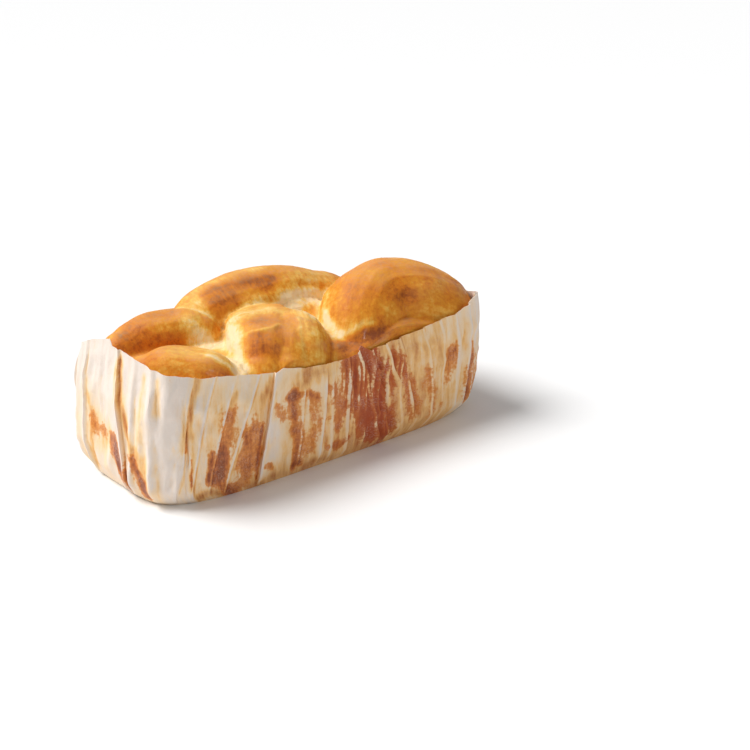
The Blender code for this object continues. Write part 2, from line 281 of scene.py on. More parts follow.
# Marks on the crust: a line through a few points in millimetres, its half width, how much darker
# (or, below 0, paler) the crust is there, and how deep the mark is (or, below 0, how high).
MARKS = (
    # far knot of the left end: near face darker, partly browner crust and partly painted shade;
    # pale tip
    (((-109, 27, 84), (-92, 18, 87), (-75, 11, 83)), 8.0, 0.22, 0.0),
    (((-104, 32, 91), (-92, 31, 95), (-80, 28, 96)), 8.0, 0.13, 0.0),
    (((-66, 15, 92), (-65, 9, 83)), 6.5, -0.55, 0.0),
    (((-118, 34, 88), (-108, 38, 92)), 4.0, -0.35, 0.0),
    # near knot of the left end: glossy spot with a pale rim
    (((-94, -35, 85), (-88, -40, 82)), 6.0, -0.04, 0.0),
    (((-86, -31, 88), (-79, -37, 84), (-75, -42, 78)), 2.6, -0.60, -0.5),
    (((-100, -24, 91), (-90, -22, 91)), 3.0, 0.12, 0.3),
    (((-102, -14, 91), (-90, -26, 90)), 9.0, -0.18, 0.0),
    # the valley between the left knots and the middle one
    (((-64, 4, 78), (-57, -3, 80), (-55, -12, 82)), 9.0, -0.80, 0.0),
    (((-77, -24, 84), (-70, -33, 80), (-68, -40, 76)), 6.0, -0.70, 0.0),
    (((-52, 11, 80), (-40, 14, 80), (-30, 16, 80)), 6.0, -0.25, 1.5),
    # long rope: pale near face, brown stripe under the crest, pale right end
    (((-50, 35, 100), (-52, 27, 97), (-53, 19, 93)), 4.0, -0.45, 0.0),
    (((-47, 27, 99), (-40, 20, 97), (-32, 19, 98)), 6.0, 0.20, 0.0),
    (((-24, 18, 97), (-11, 15, 97), (-4, 13, 95)), 4.0, -0.40, 0.0),
    # painted highlight: the top of the crest made paler where the light catches it
    (((-60, 40, 97), (-42, 41, 103), (-19, 40, 108), (1, 36, 109)), 5.0, -0.34, 0.0),
    (((-40, 32, 102), (-15, 28, 104), (8, 26, 103)), 12.0, 0.08, 0.0),
    (((-57, 42, 95), (-47, 34, 102), (-26, 29, 105), (-10, 26, 105), (3, 22, 104)), 3.6, 0.25, 0.3),
    (((2, 24, 104), (0, 20, 102), (-5, 13, 95)), 3.6, 0.22, 0.0),
    (((26, 21, 103), (36, 17, 98), (42, 22, 98)), 12.0, -0.36, 0.0),
    (((22, 15, 99), (30, 14, 97), (38, 12, 93)), 3.0, 0.30, 0.5),
    # the torn dough between the long rope, the middle knot and the dome
    (((6, 11, 92), (19, 8, 91), (31, 9, 88)), 8.0, -0.95, 0.0),
    (((8, 4, 90), (3, -12, 88), (2, -24, 86)), 7.0, -0.85, 0.0),
    # middle knot: pale left side, pale top, raised crease with painted highlight and painted shade
    # below
    (((-46, 2, 89), (-53, -10, 88), (-60, -20, 84), (-65, -30, 79), (-68, -41, 75)),
     6.0, -0.80, 0.0),
    (((-36, 6, 94), (-22, 0, 94), (-9, -8, 93), (-4, -18, 91)), 8.0, -0.36, 0.0),
    # painted highlight along the raised crease
    (((-51, -26, 92), (-46, -29, 93), (-36, -30, 93), (-29, -27, 94)), 1.4, -0.42, -0.5),
    # painted shade below the crease
    (((-48, -32, 91), (-38, -34, 91), (-30, -31, 92)), 2.2, 0.22, 0.3),
    (((-52, -30, 90), (-47, -42, 85), (-34, -41, 85)), 6.0, 0.14, 0.0),
    (((-43, -16, 94), (-34, -14, 95)), 6.0, 0.14, 0.4),
    (((-58, -34, 85), (-50, -40, 84)), 5.0, 0.12, 0.0),
    # its right half: a pale line down the front, and beside it a crease darkened as painted shade
    (((-10, -24, 93), (-20, -37, 89), (-25, -44, 83)), 1.6, -0.42, -0.4),
    # painted shade: the crease darkened where shade falls in it
    (((-26, -41, 83), (-33, -44, 77), (-40, -47, 74)), 1.3, 0.38, 1.1),
    (((-36, -44, 80), (-40, -46, 77)), 3.0, -0.35, -0.3),
    (((-7, -24, 91), (-12, -36, 88), (-13, -45, 84)), 5.0, -0.24, 0.0),
    (((-28, -48, 77), (-14, -51, 75)), 4.0, -0.20, 0.0),
    # dome: cream edge at its left end, streaks of stretched dough under it, browned middle
    (((30, -3, 96), (21, -11, 91), (15, -20, 85)), 3.4, -0.50, 0.0),
    (((16, -18, 86), (13, -26, 81), (13, -31, 79), (12, -35, 77)), 4.0, -0.95, -0.4),
    (((9, -33, 78), (16, -39, 80), (24, -44, 84), (34, -46, 86)), 2.2, -0.55, 0.2),
    (((8, -42, 76), (17, -45, 76), (29, -50, 79), (39, -50, 82)), 5.5, 0.34, 0.0),
    (((26, -32, 95), (35, -36, 98), (47, -38, 100), (60, -37, 99)), 9.0, 0.12, 0.0),
    (((38, -30, 102), (62, -28, 106), (84, -30, 104)), 18.0, 0.10, 0.0),
    (((66, -42, 96), (84, -40, 96), (106, -34, 88)), 14.0, 0.08, 0.0),
    (((6, -46, 73), (20, -50, 74), (34, -52, 76)), 5.0, 0.10, 0.0),
    (((78, -36, 99), (98, -35, 96)), 10.0, -0.10, 0.0),
)

# Where the egg glaze pooled and shines: half width and line, as above.
GLAZED = (
    (3.2, ((-26, -42, 84), (-19, -47, 82), (-6, -46, 79))),
    (2.6, ((-12, -24, 93), (-6, -30, 91))),
    (7.0, ((76, -43, 95), (100, -38, 98), (114, -42, 90))),
    (5.0, ((-92, -36, 86), (-84, -42, 81))),
    (6.0, ((6, -49, 73), (38, -53, 76))),
    (5.0, ((-44, -40, 86), (-36, -44, 80))),
)

# The dough tore open where a point is hardly nearer to its own knot than to the next: the
# difference in metres up to which the tear is whole, and at which it ends, and how pale it stayed.
TEAR_WIDTH = (0.0004, 0.0046)
TORN_PALENESS = 0.40

# How brown the open crests are, the share of that on faces that look down, and how much less brown
# the pale dough is.
CREST_BAKE = 0.62
SIDE_BAKE = 0.75
PALE_DROP = 0.58

# The strands: cells to a metre along and across them, and the steps that give each knot strands and
# streaks of its own.
STRANDS_ALONG = 45
STRANDS_ACROSS = 330
KNOT_STEPS = (7.3, 0.37)

# The crust's noise in layers: cells to a metre, seed, and the height in metres. The height of the
# strands is a share, and that of the brown patches a step on the scale of the baking. The wrinkles
# have their height on pale dough, and only a share of it where it is brown.
STRAND_WANDER = ((70, 2, 0.0015),)
STRAND_LAYERS = (((1.0, 1.0, 1.0), 5, 0.65), ((2.1, 2.2, 1.0), 6, 0.35))
TEAR_EDGES = ((90, 21, 0.0016), (260, 22, 0.0006))
SWELLS = ((38, 3, 0.0009), (85, 4, 0.00035))
DIMPLES = ((260, 8, 0.00010), (480, 9, 0.00006))
WRINKLES = ((150, 150, 260), 10, 0.00028)
BROWN_WRINKLES = 0.25
BROWN_PATCHES = ((55, 14, 0.10), (130, 15, 0.06))

# The relief of the strands on brown crust, in metres, and how much more on pale. Then how much
# browner a strand is, in the same two steps.
STRAND_RELIEF = (0.00004, 0.00060)
STRAND_BAKE = (0.02, 0.14)

# How the marks' edges wander: cells to a metre, the first of the three axes' seeds, and how far.
# Then the heights over which the relief fades in, and over which slopes, from 0 for an upright face
# to 1 for a level one, the crust browns fully and the painted sheen of the tops comes in.
MARK_WANDER = (110, 30, 0.0022)
RELIEF_RISE = (0.050, 0.066)
BROWNED_SLOPES = (-0.3, 0.6)
TOP_SLOPES = (0.70, 1.0)

# Where a knot's top sank flat as it cooled, in millimetres: along, across, reach and height, then
# how much the flat rises along and across.
PRESSED = (
    (-24, -10, 30, 94.0, -0.05, 0.05),
    (-93, -19, 22, 89.0, -0.10, 0.10),
    (-78, 30, 24, 96.0, -0.04, 0.05),
)
PRESS_SOFTNESS = 0.0012

# The size of the skin's faces, the height below which the paper hides them, and the share of them
# that is kept there.
SKIN_VOXEL = 0.00108
HIDDEN_BELOW = 0.058
HIDDEN_SHARE = 0.08


def sweep_rope(name, route):
    """Sweeps one rope with round ends. Returns its pieces and samples of its centre line."""
    bpy.ops.object.select_all(action="DESELECT")
    bpy.ops.curve.primitive_bezier_curve_add()
    sweep = bpy.context.object
    sweep.name = name
    curve = sweep.data
    curve.dimensions = "3D"
    curve.bevel_depth = 1.0
    curve.bevel_resolution = 8
    curve.resolution_u = ROPE_STEPS
    curve.use_fill_caps = True
    spline = curve.splines[0]
    spline.bezier_points.add(len(route) - 2)
    spline.radius_interpolation = "CARDINAL"
    for bend, (along, across, up, radius) in zip(spline.bezier_points, route):
        bend.co = (along * MM, across * MM, up * MM)
        bend.radius = radius * MM
        bend.handle_left_type = "AUTO"
        bend.handle_right_type = "AUTO"
    bpy.context.view_layer.update()
    centres = []
    radii = []
    for a, b in zip(spline.bezier_points[:-1], spline.bezier_points[1:]):
        part = interpolate_bezier(a.co, a.handle_right, b.handle_left, b.co, ROPE_STEPS + 1)
        centres += [tuple(point) for point in part[:-1]]
        radii += list(np.linspace(a.radius, b.radius, ROPE_STEPS + 1)[:-1])
    centres.append(tuple(spline.bezier_points[-1].co))
    radii.append(spline.bezier_points[-1].radius)
    bpy.ops.object.convert(target="MESH")
    pieces = [sweep]
    for end in (0, -1):
        bpy.ops.mesh.primitive_ico_sphere_add(
            subdivisions=4, radius=radii[end], location=centres[end]
        )
        bpy.ops.object.transform_apply(location=True, rotation=False, scale=False)
        pieces.append(bpy.context.object)
    return pieces, np.array(centres), np.array(radii)


def body_points(places, shares):
    """The dough's lower body, pressed against the inside of the paper."""
    levels = range(len(BODY_LEVELS))
    height = np.interp(shares * levels[-1], levels, BODY_LEVELS) * LOAF_HEIGHT
    inset = np.interp(shares * levels[-1], levels, BODY_INSETS)
    return on_mould(places, np.maximum(height, DOUGH_FLOOR), inset)


def keep_in_paper(points):
    """Moves the dough's points in until they are inside the paper and above its base."""
    half_x, half_y, near_square, far_square = mould_at(points[:, 2])
    middle = np.clip((OVERHANG_ENDS - np.abs(points[:, 0]) / HALF_LENGTH) / OVERHANG_FADE, 0.0, 1.0)
    half_y = half_y + middle * OVERHANG * np.maximum(points[:, 2] - PAPER_HEIGHT, 0.0)
    square = np.where(points[:, 1] > 0.0, far_square, near_square)
    reach = np.abs(points[:, 0] / (half_x - PAPER_GAP)) ** square
    reach += np.abs(points[:, 1] / (half_y - PAPER_GAP)) ** square
    points[:, :2] *= (np.maximum(reach, 1.0) ** (-1 / square))[:, None]
    points[:, 2] = np.maximum(points[:, 2], DOUGH_FLOOR)
    return points


dough = [wrapped_sheet("body", BODY_COLUMNS, len(BODY_LEVELS) - 1, body_points)]
bpy.ops.object.mode_set(mode="EDIT")
bpy.ops.mesh.select_all(action="SELECT")
bpy.ops.mesh.fill_holes(sides=0)
face_outwards()
rope_centres = []
rope_radii = []
rope_knots = []
for number, (name, routes) in enumerate(KNOTS.items()):
    for route in routes:
        pieces, centres, radii = sweep_rope(name, route)
        dough += pieces
        rope_centres.append(centres)
        rope_radii.append(radii)
        rope_knots.append(np.full(len(centres), number))

bpy.ops.object.select_all(action="DESELECT")
for piece in dough:
    piece.select_set(True)
bpy.context.view_layer.objects.active = dough[0]
bpy.ops.object.join()
loaf = bpy.context.object
loaf.name = "plaited_loaf"
loaf.data.name = "plaited_loaf"
apply_modifier("REMESH", mode="VOXEL", voxel_size=SKIN_VOXEL)
apply_modifier("SMOOTH", factor=0.5, iterations=6)

low = read_vectors(loaf.data.vertices)[:, 2] < HIDDEN_BELOW
select_parts(loaf.data, vertices=low)
bpy.context.tool_settings.mesh_select_mode = (True, False, False)
bpy.ops.object.mode_set(mode="EDIT")
bpy.ops.mesh.decimate(ratio=1.0 - low.mean() * (1.0 - HIDDEN_SHARE))
bpy.ops.object.mode_set(mode="OBJECT")


def rope_places(points):
    """For each point of the crust: the knot it lies on, how far along the rope and round it, and
    how much nearer that knot is than the next one."""
    centre = np.concatenate(rope_centres)
    radius = np.concatenate(rope_radii)
    number = np.concatenate(rope_knots)
    tangent = np.concatenate([np.gradient(c, axis=0) for c in rope_centres])
    tangent /= np.linalg.norm(tangent, axis=1)[:, None]
    side = np.cross(tangent, (0.0, 0.0, 1.0))
    side /= np.linalg.norm(side, axis=1)[:, None]
    over = np.cross(side, tangent)
    run = np.concatenate([
        np.concatenate(([0.0], np.cumsum(np.linalg.norm(np.diff(c, axis=0), axis=1))))
        for c in rope_centres
    ])
    knot, along, round_, lead = (np.zeros(len(points)) for _ in range(4))
    batch = 4000
    for start in range(0, len(points), batch):
        some = slice(start, start + batch)
        gap = points[some, None, :] - centre[None]
        reach = np.linalg.norm(gap, axis=2) - radius
        best = reach.argmin(axis=1)
        rows = np.arange(len(best))
        nearest = reach[rows, best]
        reach[number[None, :] == number[best][:, None]] = 1.0
        knot[some] = number[best]
        lead[some] = reach.min(axis=1) - nearest
        arm = gap[rows, best]
        along[some] = run[best] + (arm * tangent[best]).sum(axis=1)
        turn = np.arctan2((arm * side[best]).sum(axis=1), (arm * over[best]).sum(axis=1))
        round_[some] = turn * radius[best]
    return knot, along, round_, lead


def add_attribute(mesh, name, values):
    """Stores a number, or three, for each vertex under a name that the material reads."""
    kind = "FLOAT" if values.ndim == 1 else "FLOAT_VECTOR"
    layer = mesh.attributes.new(name, kind, "POINT")
    layer.data.foreach_set("value" if kind == "FLOAT" else "vector", values.ravel())


points = read_vectors(loaf.data.vertices)
for along, across, reach, height, slope_x, slope_y in PRESSED:
    gap = points[:, :2] - (along * MM, across * MM)
    near = np.exp(-(gap ** 2).sum(axis=1) / (reach * MM) ** 2)
    top = height * MM + gap @ np.array((slope_x, slope_y))
    over = (points[:, 2] - top) / PRESS_SOFTNESS
    points[:, 2] -= np.logaddexp(0.0, over) * PRESS_SOFTNESS * near
write_points(loaf.data, points)
normals = read_vectors(loaf.data.vertex_normals, "vector")
knot, along, round_, lead = rope_places(points)


def near_line(points, line, units, width):
    """A share that is 1 on a line and fades out over a half width in millimetres. The line's points
    are in units that make them metres."""
    nearest = np.full(len(points), 1.0)
    line = np.array(line) * units
    for a, b in zip(line[:-1], line[1:]):
        share = np.clip((points - a) @ (b - a) / ((b - a) @ (b - a)), 0.0, 1.0)
        nearest = np.minimum(nearest, np.linalg.norm(points - a - share[:, None] * (b - a), axis=1))
    return np.exp(-(nearest / (width * MM)) ** 2)


across_strands = np.isin(knot, [list(KNOTS).index(name) for name in ACROSS_STRANDS])
run = np.where(across_strands, round_, along)
turn = np.where(across_strands, along, round_)
turn = turn + layered_noise(points, STRAND_WANDER)
cells = (run * STRANDS_ALONG, turn * STRANDS_ACROSS, knot * KNOT_STEPS[0])
strands = layered_noise(np.stack(cells, axis=1), STRAND_LAYERS)

# Where the dough tore open between the knots as it rose, it stayed pale and stringy.
torn = 1.0 - smooth_step(lead + layered_noise(points, TEAR_EDGES), *TEAR_WIDTH)
tint = np.zeros(len(points))
dent = np.zeros(len(points))
cells, seed, reach = MARK_WANDER
drift = np.stack([soft_noise(points * cells, seed + k) for k in range(3)], axis=1)
spread = points + drift * reach
for line, width, darker, depth in MARKS:
    tint += darker * near_line(spread, line, MM, width)
    if depth != 0.0:
        dent += depth * MM * near_line(points, line, MM, width)
pale = np.clip(torn * TORN_PALENESS + np.maximum(-tint, 0.0), 0.0, 1.0)

cells, seed, height = WRINKLES
wrinkles = ridges(points * cells, seed) * height * (BROWN_WRINKLES + pale)
lift = layered_noise(points, SWELLS) + layered_noise(points, DIMPLES) + wrinkles
lift += strands * (STRAND_RELIEF[0] + STRAND_RELIEF[1] * pale) - dent
lift *= smooth_step(points[:, 2], *RELIEF_RISE)
write_points(loaf.data, keep_in_paper(points + normals * lift[:, None]))

# The crust browned on the open tops. Unevenness of a few millimetres is in the attribute, and what
# is finer is in the material.
upward = smooth_step(normals[:, 2], *BROWNED_SLOPES)
bake = CREST_BAKE * (SIDE_BAKE + (1.0 - SIDE_BAKE) * upward) - pale * PALE_DROP
bake += np.maximum(tint, 0.0) + layered_noise(points, BROWN_PATCHES)
bake += strands * (STRAND_BAKE[0] + STRAND_BAKE[1] * pale)
glaze = np.zeros(len(points))
for width, line in GLAZED:
    glaze = np.maximum(glaze, near_line(spread, line, MM, width))
add_attribute(loaf.data, "bake", np.clip(bake, 0.0, 1.0))
add_attribute(loaf.data, "glaze", glaze)
# How level each face is, which places the painted sheen on the tops.
add_attribute(loaf.data, "top", smooth_step(normals[:, 2], *TOP_SLOPES))
add_attribute(loaf.data, "pale", pale)
add_attribute(loaf.data, "strand_place", np.stack((run, turn, knot * KNOT_STEPS[1]), axis=1))
only(loaf)
bpy.ops.object.shade_smooth()


def new_group(name, inputs, outputs):
    """An empty shader group with named inputs, each with its default value, and named outputs."""
    group = bpy.data.node_groups.new(name, "ShaderNodeTree")
    for label, kind, value in inputs:
        socket = group.interface.new_socket(label, in_out="INPUT", socket_type=kind)
        if value is not None:
            socket.default_value = value
    for label, kind in outputs:
        group.interface.new_socket(label, in_out="OUTPUT", socket_type=kind)
    entry = group.nodes.new("NodeGroupInput")
    exit_ = group.nodes.new("NodeGroupOutput")
    return group, entry, exit_


def add_node(tree, kind, **settings):
    """A node with settings for its properties, or for its inputs by name."""
    node = tree.nodes.new(kind)
    for label, value in settings.items():
        if hasattr(node, label):
            setattr(node, label, value)
        else:
            node.inputs[label].default_value = value
    return node


def mottle_group():
    """Soft blotches, as uneven heat and fat leave them. Puts out 0 to 1."""
    group, entry, exit_ = new_group(
        "mottle",
        [("Vector", "NodeSocketVector", None), ("Scale", "NodeSocketFloat", 60.0),
         ("Low", "NodeSocketFloat", 0.35), ("High", "NodeSocketFloat", 0.65)],
        [("Value", "NodeSocketFloat")],
    )
    clouds = add_node(group, "ShaderNodeTexNoise", Detail=5.0, Roughness=0.6)
    spread = add_node(group, "ShaderNodeMapRange", interpolation_type="SMOOTHSTEP")
    group.links.new(entry.outputs["Vector"], clouds.inputs["Vector"])
    group.links.new(entry.outputs["Scale"], clouds.inputs["Scale"])
    group.links.new(clouds.outputs["Fac"], spread.inputs["Value"])
    group.links.new(entry.outputs["Low"], spread.inputs["From Min"])
    group.links.new(entry.outputs["High"], spread.inputs["From Max"])
    group.links.new(spread.outputs["Result"], exit_.inputs["Value"])
    return group


mottle = mottle_group()


def add_mottle(tree, vector, scale, low, high):
    node = tree.nodes.new("ShaderNodeGroup")
    node.node_tree = mottle
    tree.links.new(vector, node.inputs["Vector"])
    node.inputs["Scale"].default_value = scale
    node.inputs["Low"].default_value = low
    node.inputs["High"].default_value = high
    return node.outputs["Value"]


def add_attribute_node(tree, name, output="Fac"):
    """Reads an attribute of the mesh as a number, or as three with the output Vector."""
    return add_node(tree, "ShaderNodeAttribute", attribute_name=name).outputs[output]


def reckon(tree, operation, values):
    """Works values out one after another. Each is a socket or a number."""
    total = values[0]
    for value in values[1:]:
        node = add_node(tree, "ShaderNodeMath", operation=operation)
        for k, part in enumerate((total, value)):
            if isinstance(part, (int, float)):
                node.inputs[k].default_value = part
            else:
                tree.links.new(part, node.inputs[k])
        total = node.outputs["Value"]
    return total


def plus(tree, *values):
    return reckon(tree, "ADD", values)


def times(tree, *values):
    return reckon(tree, "MULTIPLY", values)


def swing(tree, pattern, reach):
    """Turns a pattern of 0 to 1 into one that swings to both sides of 0, times its reach."""
    return times(tree, plus(tree, pattern, -0.5), reach)


def mapped(tree, value, **ends):
    """A Map Range node, with the ends of its ranges by name."""
    node = tree.nodes.new("ShaderNodeMapRange")
    for label, end in ends.items():
        node.inputs[label.replace("_", " ")].default_value = end
    tree.links.new(value, node.inputs["Value"])
    return node


def stretched(tree, vector, scale):
    """Stretches a pattern's coordinates by a scale for each axis."""
    node = add_node(tree, "ShaderNodeMapping")
    node.inputs["Scale"].default_value = scale
    tree.links.new(vector, node.inputs["Vector"])
    return node.outputs["Vector"]


def add_bump(tree, shader, height, strength, distance):
    """Raises the surface by a height of about 0 to 1, times a distance in metres."""
    bump = add_node(tree, "ShaderNodeBump", Strength=strength, Distance=distance)
    tree.links.new(height, bump.inputs["Height"])
    tree.links.new(bump.outputs["Normal"], shader.inputs["Normal"])


def mixed(tree, share, a, b):
    """Blends two colours by a share. Each is a socket or a colour."""
    node = add_node(tree, "ShaderNodeMix", data_type="RGBA", blend_type="MIX")
    tree.links.new(share, node.inputs["Factor"])
    for label, value in (("A", a), ("B", b)):
        socket = [s for s in node.inputs if s.name == label and s.type == "RGBA"][0]
        if isinstance(value, tuple):
            socket.default_value = value
        else:
            tree.links.new(value, socket)
    return [s for s in node.outputs if s.type == "RGBA"][0]


def ramp(tree, value, stops):
    """A colour ramp through (place, colour) stops."""
    node = tree.nodes.new("ShaderNodeValToRGB")
    elements = node.color_ramp.elements
    while len(elements) < len(stops):
        elements.new(0.5)
    for element, (place, colour) in zip(elements, stops):
        element.position = place
        element.color = colour
    tree.links.new(value, node.inputs["Fac"])
    return node.outputs["Color"]


# The crust's colour, from pale dough to the darkest brown.
CRUST_STOPS = (
    (0.00, (0.89, 0.69, 0.41, 1.0)),
    (0.18, (0.88, 0.62, 0.27, 1.0)),
    (0.36, (0.83, 0.465, 0.088, 1.0)),
    (0.55, (0.72, 0.275, 0.022, 1.0)),
    (0.75, (0.61, 0.178, 0.014, 1.0)),
    (1.00, (0.29, 0.065, 0.010, 1.0)),
)
# A painted sheen: the pale colour that the tops are lightened towards, standing in for light on
# them.
PAINTED_TOP_SHEEN = (0.93, 0.61, 0.30, 1.0)

# The crust's patterns: cells to a metre, the noise values that become 0 and 1, and how far the
# pattern moves the colour along the stops above.
BLOTCHES = (60.0, 0.25, 0.75, 0.25)
FRECKLES = (330.0, 0.35, 0.75, 0.18)
SPECKS = (900.0, 0.62, 0.74, 0.16)

# The streaks along the strands: cells to a metre along, across and by knot, and a pattern as above.
# They move the colour as far as the first reach says, and by the second more on pale dough.
STREAK_SCALE = (80.0, 420.0, 40.0)
STREAKS = (1.0, 0.25, 0.75)
STREAK_REACH = (0.12, 0.18)

# A painted sheen that lightens the tops where the light falls on them: its share everywhere, in the
# blotches and in the freckles.
PAINTED_SHEEN_SHARES = (0.03, 0.16, 0.22)

# The thin glaze left by the brush: a pattern as above, and how strong it is. Then the most glaze
# that any spot has.
GLAZE_BRUSHED = (75.0, 0.52, 0.66, 0.14)
GLAZE_MOST = 0.9

# The fine relief: how far the crust sinks between its blisters, and how much the streaks rise where
# the dough is brown.
BLISTER_RISE = -0.6
STREAK_RISE = 0.08


def new_material(name):
    """An empty material, with its node tree and its shader."""
    made = bpy.data.materials.new(name)
    made.use_nodes = True
    return made, made.node_tree, made.node_tree.nodes["Principled BSDF"]


def crust_material():
    """Egg-glazed crust: browned on the tops, pale and streaked where the dough stretched."""
    made, tree, shader = new_material("glazed_crust")
    pale_in = add_attribute_node(tree, "pale")
    place = add_node(tree, "ShaderNodeTexCoord").outputs["Object"]
    strand_run = stretched(tree, add_attribute_node(tree, "strand_place", "Vector"), STREAK_SCALE)
    streaks = add_mottle(tree, strand_run, *STREAKS)
    blotches = add_mottle(tree, place, *BLOTCHES[:3])
    freckles = add_mottle(tree, place, *FRECKLES[:3])
    specks = add_mottle(tree, place, *SPECKS[:3])
    streaky = plus(tree, times(tree, pale_in, STREAK_REACH[1]), STREAK_REACH[0])
    level = plus(
        tree,
        add_attribute_node(tree, "bake"),
        swing(tree, blotches, BLOTCHES[3]),
        swing(tree, streaks, streaky),
        swing(tree, freckles, FRECKLES[3]),
        times(tree, specks, SPECKS[3]),
    )
    # Painted sheen: the level tops are lightened towards a pale colour, as light falling on them
    # would.
    everywhere, in_blotches, in_freckles = PAINTED_SHEEN_SHARES
    painted_sheen = plus(tree, times(tree, blotches, in_blotches), times(tree, freckles, in_freckles))
    painted_sheen = times(tree, add_attribute_node(tree, "top"), plus(tree, painted_sheen, everywhere))
    colour = mixed(tree, painted_sheen, ramp(tree, level, CRUST_STOPS), PAINTED_TOP_SHEEN)
    tree.links.new(colour, shader.inputs["Base Color"])

    pores = add_node(tree, "ShaderNodeTexNoise", Scale=1100.0, Detail=3.0, Roughness=0.6)
    tree.links.new(place, pores.inputs["Vector"])
    blisters = add_node(tree, "ShaderNodeTexVoronoi", Scale=420.0, feature="SMOOTH_F1")
    tree.links.new(place, blisters.inputs["Vector"])
    rise = times(tree, blisters.outputs["Distance"], BLISTER_RISE)
    strand_rise = times(tree, streaks, plus(tree, pale_in, STREAK_RISE))
    height = plus(tree, pores.outputs["Fac"], rise, strand_rise)
    add_bump(tree, shader, height, strength=0.50, distance=0.0006)

    rough = mapped(tree, level, To_Min=0.60, To_Max=0.42)
    tree.links.new(rough.outputs["Result"], shader.inputs["Roughness"])
    shader.inputs["Subsurface Weight"].default_value = 0.10
    shader.inputs["Subsurface Radius"].default_value = (0.004, 0.0018, 0.0006)
    shader.inputs["Specular IOR Level"].default_value = 0.13
    shader.inputs["Coat Roughness"].default_value = 0.16
    brushed = times(tree, add_mottle(tree, place, *GLAZE_BRUSHED[:3]), GLAZE_BRUSHED[3])
    glazed = plus(tree, brushed, add_attribute_node(tree, "glaze"))
    tree.links.new(reckon(tree, "MINIMUM", (glazed, GLAZE_MOST)), shader.inputs["Coat Weight"])
    return made


loaf.data.materials.clear()
loaf.data.materials.append(crust_material())
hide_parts("loaf")
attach(loaf, "root")


# The paper case
# One sheet of baking paper pressed into the tin round the dough: thin, crumpled, pleated where it
# turns the corners, and see-through brown where butter from the crust soaked it.
PAPER_COLUMNS = 860
PAPER_ROWS = 46
PAPER_THICKNESS = 0.0003
PAPER_OFF_MOULD = 0.0001

# The rim's height as a share of the paper's height, by its place round the case.
RIM_HEIGHTS = np.array((
    (0.000, 1.04),
    (0.050, 1.02),
    (0.072, 1.10),
    (0.095, 1.02),
    (0.160, 0.95),
    (0.250, 0.92),
    (0.340, 0.95),
    (0.400, 0.97),
    (0.425, 1.00),
    (0.440, 1.07),
    (0.461, 1.15),
    (0.488, 1.22),
    (0.492, 1.17),
    (0.512, 1.17),
    (0.534, 1.15),
    (0.555, 1.14),
    (0.578, 1.11),
    (0.590, 1.09),
    (0.602, 1.055),
    (0.620, 1.035),
    (0.652, 0.975),
    (0.678, 0.930),
    (0.688, 0.945),
    (0.712, 0.890),
    (0.745, 0.87),
    (0.766, 0.88),
    (0.773, 0.94),
    (0.782, 0.88),
    (0.830, 0.92),
    (0.890, 0.97),
    (0.926, 1.09),
    (0.955, 1.02),
    (1.000, 1.04),
))

# Each fold is a ridge that rises slowly along the wall and drops back at its edge: the edge's place
# at the rim and at the foot, the width of the slow side and the height of the edge. A negative
# width turns the steep side to the other hand.
FOLDS = (
    (0.020, 0.024, 0.020, 0.0018),
    (0.058, 0.052, 0.014, 0.0022),
    (0.084, 0.080, 0.014, 0.0026),
    (0.110, 0.104, 0.016, 0.0016),
    (0.135, 0.128, 0.018, 0.0018),
    (0.170, 0.174, 0.020, 0.0014),
    (0.205, 0.210, 0.022, 0.0020),
    (0.243, 0.240, 0.020, 0.0015),
    (0.282, 0.272, 0.020, 0.0018),
    (0.314, 0.318, 0.018, 0.0015),
    (0.345, 0.352, 0.022, 0.0022),
    (0.380, 0.374, 0.016, 0.0018),
    (0.412, 0.402, 0.016, 0.0026),
    (0.434, 0.430, 0.010, 0.0014),
    (0.453, 0.463, 0.012, 0.0018),
    (0.502, 0.519, 0.024, 0.0030),
    (0.597, 0.562, 0.012, 0.0018),
    (0.619, 0.580, 0.014, 0.0020),
    (0.640, 0.603, 0.012, 0.0012),
    (0.664, 0.622, 0.010, 0.0017),
    (0.680, 0.659, -0.022, 0.0036),
    (0.712, 0.700, 0.012, 0.0012),
    (0.734, 0.722, 0.012, 0.0016),
    (0.758, 0.751, 0.012, 0.0024),
    (0.769, 0.788, 0.010, 0.0032),
    (0.784, 0.801, 0.010, 0.0030),
    (0.800, 0.816, 0.010, 0.0030),
    (0.816, 0.830, 0.010, 0.0024),
    (0.845, 0.850, 0.018, 0.0024),
    (0.868, 0.864, 0.010, 0.0016),
    (0.888, 0.884, 0.016, 0.0022),
    (0.906, 0.899, 0.010, 0.0018),
    (0.922, 0.914, 0.012, 0.0028),
    (0.942, 0.945, 0.012, 0.0016),
    (0.962, 0.966, 0.018, 0.0022),
)

# How wide the drop at a fold's edge is, how hollow its slow side, and the shares of the wall's
# height below which the folds fade out at the foot and over which they halve at the rim.
FOLD_DROP = 0.0005
FOLD_CURVE = 1.8
FOLD_START = 0.10
FOLD_FADE = (0.75, 1.0)

# Soft round flutes: the place at the rim and at the foot, the half width and the height.
FLUTES = (
    (0.441, 0.444, 0.0030, 0.0014),
    (0.527, 0.522, 0.0026, 0.0022),
    (0.550, 0.546, 0.0030, 0.0022),
    (0.567, 0.555, 0.0040, 0.0012),
    (0.606, 0.574, 0.0030, 0.0012),
    (0.738, 0.733, 0.0024, 0.0016),
    (0.903, 0.898, 0.0030, 0.0018),
)


